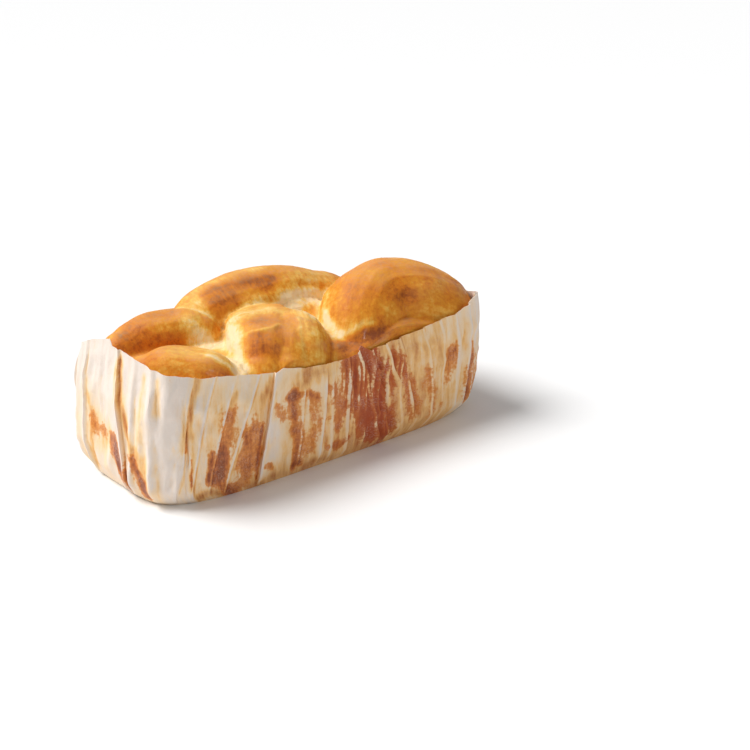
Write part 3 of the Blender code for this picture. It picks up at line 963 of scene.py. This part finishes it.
def place_columns(places, shares):
    """Moves the sheet's even columns along the wall so that each fold's edge lies on a column and
    its drop falls within the next one."""
    moved = places.copy()
    for share in np.unique(shares):
        row = shares == share
        even = [0.0]
        uneven = [0.0]
        for rim_place, foot_place, width, _ in FOLDS:
            column = round((rim_place + foot_place) / 2 * PAPER_COLUMNS)
            edge = foot_place + (rim_place - foot_place) * share
            for step in sorted((0.0, math.copysign(1.0, width))):
                even.append((column + step) / PAPER_COLUMNS)
                uneven.append(edge + step * FOLD_DROP / GIRTH)
        moved[row] = np.interp(places[row], even + [1.0], uneven + [1.0])
    return moved


def fold_lift(places, shares):
    """How far the folds lift the paper off the tin's wall."""
    lift = np.zeros(len(places))
    for rim_place, foot_place, width, height in FOLDS:
        edge = foot_place + (rim_place - foot_place) * shares
        gap = (places - edge) * GIRTH * math.copysign(1.0, width)
        rise = np.clip(1.0 + gap / abs(width), 0.0, 1.0) ** FOLD_CURVE * (gap <= 0.00001)
        drop = np.clip(1.0 - gap / FOLD_DROP, 0.0, 1.0) * (gap > 0.00001)
        lift = np.maximum(lift, height * (rise + drop))
    for rim_place, foot_place, width, height in FLUTES:
        gap = (places - foot_place - (rim_place - foot_place) * shares) * GIRTH
        lift += height * np.exp(-(gap / width) ** 2)
    lift *= np.minimum(1.0, shares / FOLD_START)
    return lift * (1.0 - 0.5 * smooth_step(shares, *FOLD_FADE))


def round_wall(places, heights):
    """Places on the wall rolled into a circle of the same girth, so that a pattern has no seam."""
    angle = places * 2 * math.pi
    reach = GIRTH / (2 * math.pi)
    return np.column_stack((np.cos(angle) * reach, np.sin(angle) * reach, heights))


# The fine unevenness of the rim's cut, as a layer of noise.
RIM_CUT = ((150, 11, 0.00035),)


def rim_height(places):
    rim = np.interp(places, RIM_HEIGHTS[:, 0], RIM_HEIGHTS[:, 1]) * PAPER_HEIGHT
    return rim + layered_noise(round_wall(places, 0.0 * places), RIM_CUT)


# The crumples in layers: cells to a metre along the wall's two ways and up, seed and height. The
# sway bends all of them a little.
CRUMPLE_SWAY = ((25, 17, 0.004),)
CRUMPLES = (
    ((70, 70, 22), 12, 0.0014),
    ((150, 150, 55), 13, 0.0008),
    ((330, 330, 160), 18, 0.00030),
)

# They press in by no more than this, and fade in above the foot and out to this share at the rim,
# over these shares of the wall's height.
CRUMPLE_DEPTH = 0.0002
CRUMPLE_FOOT = (0.02, 0.16)
CRUMPLE_RIM = (0.80, 1.0)
CRUMPLE_LEFT = 0.35

# The pleats in the middle of the near side are fine and sharp: their place, half width and height.
TIGHT_PLEATS = (0.790, 0.034, 0.0020)
PLEAT_CELLS = (260, 260, 18)

# The paper stands off the dough at the left end's far corner: its place, half width and depth.
LEFT_BULGE = (0.440, 0.030, 0.0022)


def round_place(places, place, reach, height):
    """A height at one place round the case, which fades out on both sides of it."""
    return np.exp(-((places - place) / reach) ** 2) * height


def paper_lift(places, shares):
    """How far the folds and crumples lift the paper off the tin's wall."""
    wall = round_wall(places, shares * rim_height(places))
    sway = wall + layered_noise(wall, CRUMPLE_SWAY)[:, None]
    crumples = sum(ridges(sway * cells, seed) * height for cells, seed, height in CRUMPLES)
    crumples += ridges(sway * PLEAT_CELLS, 19) * round_place(places, *TIGHT_PLEATS)
    crumples = np.maximum(crumples, -CRUMPLE_DEPTH) * smooth_step(shares, *CRUMPLE_FOOT)
    crumples *= 1.0 - (1.0 - CRUMPLE_LEFT) * smooth_step(shares, *CRUMPLE_RIM)
    bulge = round_place(places, *LEFT_BULGE) * np.sin(shares * math.pi)
    return fold_lift(places, shares) + crumples + bulge


def paper_points(columns, shares):
    """The paper's wall with its folds and crumples, from the foot to the uneven rim."""
    places = place_columns(columns, shares)
    outward = paper_lift(places, shares) + PAPER_OFF_MOULD
    return on_mould(places, shares * rim_height(places), -outward)


paper = wrapped_sheet("pleated_paper", PAPER_COLUMNS, PAPER_ROWS, paper_points)
paper.data.name = "pleated_paper"
bpy.context.tool_settings.mesh_select_mode = (False, True, False)
ends = np.empty(len(paper.data.edges) * 2, np.int32)
paper.data.edges.foreach_get("vertices", ends)
heights = read_vectors(paper.data.vertices)[:, 2]
on_table = (heights[ends.reshape(-1, 2)] < 0.00005).all(axis=1)
select_parts(paper.data, edges=on_table)
bpy.ops.object.mode_set(mode="EDIT")
bpy.ops.mesh.edge_face_add()
face_outwards()
apply_modifier("SOLIDIFY", thickness=PAPER_THICKNESS, offset=1.0)
standing = read_vectors(paper.data.vertices)
standing[:, 2] -= standing[:, 2].min()
write_points(paper.data, standing)

# Brown marks where butter soaked the paper through: the strength, the half width in millimetres,
# and a line of points, each a place round the case and a height in millimetres.
STAINS = (
    # left end: the streaks at its foot
    (1.00, 5.5, ((0.499, 36), (0.506, 26), (0.514, 10))),
    (0.70, 3.0, ((0.505, 41), (0.511, 22), (0.516, 12))),
    (1.05, 4.8, ((0.527, 29), (0.534, 20), (0.541, 9))),
    (0.35, 3.0, ((0.538, 14), (0.541, 7))),
    (0.74, 5.5, ((0.465, 41), (0.473, 33), (0.482, 36))),
    # near corner: two small marks
    (0.80, 1.7, ((0.587, 34), (0.586, 24), (0.584, 14))),
    (0.60, 2.2, ((0.578, 43), (0.577, 37))),
    # near side, left of the long crease
    (0.88, 6.5, ((0.634, 56), (0.629, 42), (0.620, 28), (0.612, 14))),
    (0.78, 5.5, ((0.626, 30), (0.622, 12), (0.628, 5))),
    (0.60, 3.2, ((0.607, 16), (0.612, 32))),
    (0.78, 7.0, ((0.660, 46), (0.655, 24), (0.646, 9), (0.632, 4))),
    (0.68, 5.5, ((0.646, 38), (0.641, 22))),
    (-0.90, 1.3, ((0.643, 38), (0.637, 26), (0.629, 11))),
    (0.80, 1.5, ((0.6655, 43), (0.6620, 28), (0.6590, 8))),
    # near side, right of the long crease
    (-0.30, 7.0, ((0.675, 36), (0.678, 20))),
    (0.75, 3.0, ((0.681, 56), (0.687, 45))),
    (0.90, 4.6, ((0.694, 57), (0.699, 42), (0.702, 25), (0.700, 8))),
    (0.70, 3.2, ((0.697, 57), (0.712, 56), (0.724, 52))),
    (0.60, 7.0, ((0.715, 48), (0.722, 32), (0.716, 18))),
    (0.78, 6.0, ((0.739, 54), (0.745, 40), (0.742, 26))),
    (0.75, 2.8, ((0.668, 14), (0.674, 12))),
    (0.75, 2.6, ((0.699, 9), (0.706, 9))),
    (0.75, 3.2, ((0.733, 14), (0.745, 12), (0.752, 14))),
    # the tight pleats, the most soaked of all
    (1.10, 8.0, ((0.758, 66), (0.762, 50), (0.766, 35), (0.777, 14))),
    (1.20, 9.0, ((0.780, 68), (0.788, 50), (0.788, 30), (0.796, 12))),
    (0.75, 9.0, ((0.812, 58), (0.822, 40), (0.828, 16))),
    (0.80, 5.5, ((0.848, 46), (0.852, 12))),
    (0.65, 5.5, ((0.876, 52), (0.874, 30))),
    (0.80, 5.0, ((0.905, 36), (0.901, 8))),
)

# Yellow or tan where the paper is only greasy, tan strips of painted shade beside some folds, or
# below 0 where it stayed dry: how much, half width and line, as above.
GREASE_AND_PAINTED_SHADE = (
    (0.30, 8.0, ((0.470, 40), (0.484, 30), (0.494, 36))),
    # painted shadow cast by the left end's overlapping flap, beside its edge
    (0.70, 3.2, ((0.506, 88), (0.509, 70), (0.516, 55), (0.522, 43), (0.527, 32))),
    (0.40, 2.6, ((0.461, 55), (0.466, 38), (0.466, 12))),
    # painted shade in the valleys between the flutes
    (0.34, 3.0, ((0.539, 84), (0.538, 66), (0.537, 46))),
    (0.34, 3.0, ((0.558, 84), (0.557, 66))),
    (0.40, 6.0, ((0.530, 36), (0.538, 26), (0.545, 12))),
    (-0.12, 8.0, ((0.560, 60), (0.563, 45), (0.557, 14))),
    # painted shadow beside the edge of the fold at the near corner
    (0.56, 4.2, ((0.600, 84), (0.590, 66), (0.583, 52), (0.577, 40))),
    (0.50, 3.5, ((0.590, 4), (0.606, 5), (0.625, 5))),
    (0.36, 3.0, ((0.590, 50), (0.588, 30), (0.584, 12))),
    (0.32, 2.0, ((0.640, 72), (0.636, 62), (0.634, 54))),
    (0.40, 2.6, ((0.674, 74), (0.668, 62), (0.664, 50))),
    (0.50, 4.5, ((0.716, 68), (0.704, 62), (0.712, 70), (0.728, 66))),
    (0.34, 5.0, ((0.625, 5), (0.655, 3), (0.684, 6), (0.700, 4), (0.728, 4))),
    (-0.25, 6.0, ((0.675, 44), (0.677, 30), (0.675, 18))),
)

# How greasy the paper is between those marks, by its place round the case.
GREASE_LEVELS = np.array((
    (0.00, 0.20),
    (0.06, 0.06),
    (0.20, 0.26),
    (0.38, 0.22),
    (0.43, 0.06),
    (0.50, 0.02),
    (0.58, 0.04),
    (0.62, 0.25),
    (0.68, 0.22),
    (0.74, 0.36),
    (0.78, 0.60),
    (0.83, 0.55),
    (0.88, 0.34),
    (0.93, 0.10),
    (1.00, 0.20),
))

# More grease at the foot, and less between these heights and above them, a painted glow of light
# through the paper's free rim.
FOOT_GREASE_AND_RIM_GLOW = 0.10
PAINTED_RIM_GLOW = (0.058, 0.085)

# The crests of the folds are painted lighter, as a painted highlight, and the recesses beside them
# darker, as painted shade: how far along the wall each point is compared with its neighbours, the
# heights over which a crest begins, and what a recess and a crest add to the grease and, as a
# share, to the stains.
CREST_REACH = 0.0017
CREST_RISE = (0.00018, 0.0008)
FOLD_LIGHT_ON_GREASE = (0.22, -0.24)
FOLD_LIGHT_ON_STAINS = (0.35, -0.48)

# The marks' edges wander along the wall, in shares of the way round, and up and down, in metres.
DRIFTS = (((60, 60, 25), 40, 0.0016), (210, 42, 0.0012))
SINKS = ((55, 41, 0.0030), (190, 43, 0.0016))

# On the far side and the right end, the stains are patches in a band above the foot: the places
# that they fade out over, their cells to a metre, the noise values over which they fade in, their
# strength, and the heights of the band's two edges.
FAR_PLACES = (0.40, 0.45)
RIGHT_PLACES = (0.84, 0.90)
PATCH_CELLS = (85, 85, 17)
PATCH_EDGE = (-0.10, 0.40)
PATCH_STAIN = 0.80
BAND_FOOT = (0.002, 0.014)
BAND_TOP = (0.040, 0.072)

# The reddest paper, over the tight pleats: its place, half width and share.
REDDENED = (0.785, 0.045, 1.0)

# The UV map goes back to true places, and the material's attributes are worked out from it.
loop_count = len(paper.data.loops)
uv = np.empty(loop_count * 2)
paper.data.uv_layers[0].data.foreach_get("uv", uv)
uv = uv.reshape(-1, 2)
uv[:, 0] = place_columns(uv[:, 0], np.round(uv[:, 1], 6))
paper.data.uv_layers[0].data.foreach_set("uv", uv.ravel())
owner = np.empty(loop_count, np.int32)
paper.data.loops.foreach_get("vertex_index", owner)
heights = read_vectors(paper.data.vertices)[:, 2]
places = np.full(len(heights), 0.5)
places[owner] = uv[:, 0]
wall = round_wall(places, heights)
drift = (places + layered_noise(wall, DRIFTS)) % 1.0 * GIRTH
flat_wall = np.column_stack((drift, heights + layered_noise(wall, SINKS)))
shares = np.minimum(heights / rim_height(places), 1.0)
ridge = paper_lift(places, shares)
for side in (-1.0, 1.0):
    ridge -= 0.5 * paper_lift(places + side * CREST_REACH / GIRTH, shares)
# Painted light on the folds: crests lighter as a painted highlight, recesses darker as painted
# shade.
painted_crest_light = smooth_step(ridge, *CREST_RISE)
painted_recess_shade = smooth_step(-ridge, *CREST_RISE)
grease_and_painted_light = np.interp(places, GREASE_LEVELS[:, 0], GREASE_LEVELS[:, 1])
# Greasier at the foot; lighter towards the rim as a painted glow of light shining through the
# paper.
grease_and_painted_light += FOOT_GREASE_AND_RIM_GLOW * (1.0 - heights / PAPER_HEIGHT - smooth_step(heights, *PAINTED_RIM_GLOW))
for amount, width, line in GREASE_AND_PAINTED_SHADE:
    grease_and_painted_light += amount * near_line(flat_wall, line, (GIRTH, MM), width)
stains_and_painted_light = np.zeros(len(heights))
for amount, width, line in STAINS:
    stains_and_painted_light += amount * near_line(flat_wall, line, (GIRTH, MM), width)
far = np.maximum(smooth_step(places, *RIGHT_PLACES), 1.0 - smooth_step(places, *FAR_PLACES))
band = smooth_step(heights, *BAND_FOOT) * (1.0 - smooth_step(heights, *BAND_TOP))
patches = smooth_step(soft_noise(wall * PATCH_CELLS, 44), *PATCH_EDGE)
stains_and_painted_light += PATCH_STAIN * patches * band * far
# The painted highlight on crests and painted shade in recesses go into the grease and the stains.
grease_and_painted_light += FOLD_LIGHT_ON_GREASE[0] * painted_recess_shade + FOLD_LIGHT_ON_GREASE[1] * painted_crest_light
stains_and_painted_light *= 1.0 + FOLD_LIGHT_ON_STAINS[0] * painted_recess_shade + FOLD_LIGHT_ON_STAINS[1] * painted_crest_light
# Both attributes also carry the folds' painted light, and the grease the rim's painted glow and
# shade.
add_attribute(paper.data, "grease_and_painted_light", np.clip(grease_and_painted_light, 0.0, 1.0))
add_attribute(paper.data, "stains_and_painted_light", np.clip(stains_and_painted_light, 0.0, 1.2))
add_attribute(paper.data, "round_wall", wall)
add_attribute(paper.data, "reddened", round_place(places, *REDDENED))
only(paper)
bpy.ops.object.shade_smooth_by_angle(angle=math.radians(50))

# The paper's colour from dry to greasy, and the stains' from thin to deep.
PAPER_STOPS = (
    (0.00, (0.81, 0.71, 0.63, 1.0)),
    (0.22, (0.89, 0.67, 0.43, 1.0)),
    (0.45, (0.86, 0.52, 0.21, 1.0)),
    (0.75, (0.66, 0.31, 0.11, 1.0)),
    (1.00, (0.52, 0.19, 0.055, 1.0)),
)
STAIN_STOPS = (
    (0.00, (0.79, 0.355, 0.095, 1.0)),
    (0.30, (0.68, 0.230, 0.042, 1.0)),
    (0.65, (0.46, 0.112, 0.022, 1.0)),
    (1.00, (0.24, 0.042, 0.012, 1.0)),
)

# Its dry scuffs, and the stains' red over the tight pleats.
DRY_SCUFF = (0.80, 0.60, 0.46, 1.0)
RED_STAIN = (0.44, 0.066, 0.018, 1.0)

# The paper's patterns: cells to a metre, the noise values that become 0 and 1, and how far most of
# them move the colour along the stops above. Drips and fibres are drawn out down the wall.
DRAWN_OUT = (1.0, 1.0, 0.16)
DRIPS = (190.0, 0.25, 0.75, 0.40)
FIBRES = (700.0, 0.3, 0.7, 0.10)
CLOUDS = (85.0, 0.25, 0.75, 0.24)
GRAINS = (420.0, 0.28, 0.72, 0.34)
SCUFFS = (1100.0, 0.44, 0.62)
SCUFFED_PLACES = (90.0, 0.42, 0.62)

# How much of those patterns shows on dry paper, and how much more where it is greasy. Then how much
# the fibres rise, and how much wet paper shines.
DRY_UNEVEN = 0.20
GREASY_UNEVEN = 1.8
FIBRE_RISE = 0.25
WET_SHEEN = 0.08

# The wetness over which a stain's edge fades in, and over which it gets deeper. Then how much of
# the stains, of their red and of the dry scuffs shows.
STAIN_EDGE = (0.30, 0.56)
STAIN_DEPTH = (0.40, 1.25)
STAIN_SHARE = 0.92
RED_SHARE = 0.78
SCUFF_SHARE = 0.26


def paper_material():
    """Baking paper: dull cream, brown and glossy where the butter soaked it."""
    made, tree, shader = new_material("buttered_paper")
    # Grease, with the folds' painted highlight and shade, the rim's painted glow and strips of
    # painted shade.
    grease_and_light_in = add_attribute_node(tree, "grease_and_painted_light")
    wall_in = add_attribute_node(tree, "round_wall", "Vector")
    down = stretched(tree, wall_in, DRAWN_OUT)
    fibres = plus(tree, add_mottle(tree, down, *FIBRES[:3]), -0.5)
    uneven = plus(
        tree,
        swing(tree, add_mottle(tree, down, *DRIPS[:3]), DRIPS[3]),
        swing(tree, add_mottle(tree, wall_in, *CLOUDS[:3]), CLOUDS[3]),
        times(tree, fibres, FIBRES[3]),
    )
    mottled = times(tree, uneven, plus(tree, times(tree, grease_and_light_in, GREASY_UNEVEN), DRY_UNEVEN))
    colour = ramp(tree, plus(tree, grease_and_light_in, mottled), PAPER_STOPS)

    grains = swing(tree, add_mottle(tree, wall_in, *GRAINS[:3]), GRAINS[3])
    wet = plus(tree, add_attribute_node(tree, "stains_and_painted_light"), plus(tree, uneven, grains))
    edge = mapped(tree, wet, From_Min=STAIN_EDGE[0], From_Max=STAIN_EDGE[1])
    edge.interpolation_type = "SMOOTHSTEP"
    depth = mapped(tree, wet, From_Min=STAIN_DEPTH[0], From_Max=STAIN_DEPTH[1])
    red = times(tree, add_attribute_node(tree, "reddened"), RED_SHARE)
    stain_colour = ramp(tree, depth.outputs["Result"], STAIN_STOPS)
    stain_colour = mixed(tree, red, stain_colour, RED_STAIN)
    colour = mixed(tree, times(tree, edge.outputs["Result"], STAIN_SHARE), colour, stain_colour)

    scuffs = add_mottle(tree, wall_in, *SCUFFS)
    scuffed = add_mottle(tree, wall_in, *SCUFFED_PLACES)
    colour = mixed(tree, times(tree, scuffs, scuffed, SCUFF_SHARE), colour, DRY_SCUFF)
    tree.links.new(colour, shader.inputs["Base Color"])

    crinkle = add_node(tree, "ShaderNodeTexNoise", Scale=260.0, Detail=4.0, Roughness=0.55)
    tree.links.new(wall_in, crinkle.inputs["Vector"])
    height = plus(tree, crinkle.outputs["Fac"], times(tree, fibres, FIBRE_RISE))
    add_bump(tree, shader, height, strength=0.45, distance=0.0007)

    rough = mapped(tree, wet, To_Min=0.60, To_Max=0.36)
    tree.links.new(rough.outputs["Result"], shader.inputs["Roughness"])
    sheen = reckon(tree, "MAXIMUM", (times(tree, wet, WET_SHEEN), 0.0))
    tree.links.new(sheen, shader.inputs["Coat Weight"])
    shader.inputs["Specular IOR Level"].default_value = 0.12
    shader.inputs["Coat Roughness"].default_value = 0.25
    return made


paper.data.materials.clear()
paper.data.materials.append(paper_material())
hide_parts("paper_case")
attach(paper, "root")


# The white table
# A plain pale board, painted and wiped smooth, that the case stands on. It carries the loaf's soft
# shadow and isn't part of the object.
bpy.ops.object.select_all(action="DESELECT")
bpy.ops.mesh.primitive_plane_add(size=8.0, location=(0.0, 0.0, 0.0))
table = bpy.context.object
table.name = "white_table"
table_finish, _, table_shader = new_material("white_table")
table_shader.inputs["Base Color"].default_value = (0.90, 0.90, 0.90, 1.0)
table_shader.inputs["Roughness"].default_value = 0.55
table.data.materials.append(table_finish)
table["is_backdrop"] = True


# Light
# A white room, and one broad soft light from high on the left, behind the loaf, so that the left
# end and the tops are bright and the near side is in soft shade. A weak lamp in front lifts the
# shade and puts small glints on the glaze.
SKY_STRENGTH = 0.34
KEY_STRENGTH = 3.4
KEY_FROM = Vector((-0.44, 0.41, 0.80))
KEY_SPREAD = math.radians(34)
FRONT_LAMP = Vector((-0.15, -1.25, 0.85))
FRONT_AIM = Vector((0.0, 0.0, 0.05))
FRONT_SIZE = 0.30
FRONT_POWER = 1.6

bpy.ops.object.light_add(type="SUN", location=KEY_FROM * 2.0)
key = bpy.context.object
key.name = "window_light"
key.data.energy = KEY_STRENGTH
key.data.angle = KEY_SPREAD
key.rotation_euler = KEY_FROM.to_track_quat("Z", "Y").to_euler()

bpy.ops.object.light_add(type="AREA", location=FRONT_LAMP)
front = bpy.context.object
front.name = "front_lamp"
front.data.size = FRONT_SIZE
front.data.energy = FRONT_POWER
front.rotation_euler = (FRONT_LAMP - FRONT_AIM).to_track_quat("Z", "Y").to_euler()

room = bpy.data.worlds.new("white_room")
bpy.context.scene.world = room
room.use_nodes = True
room.node_tree.nodes["Background"].inputs["Color"].default_value = (1.0, 1.0, 1.0, 1.0)
room.node_tree.nodes["Background"].inputs["Strength"].default_value = SKY_STRENGTH
bpy.context.scene.view_settings.view_transform = "Standard"

low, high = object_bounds()
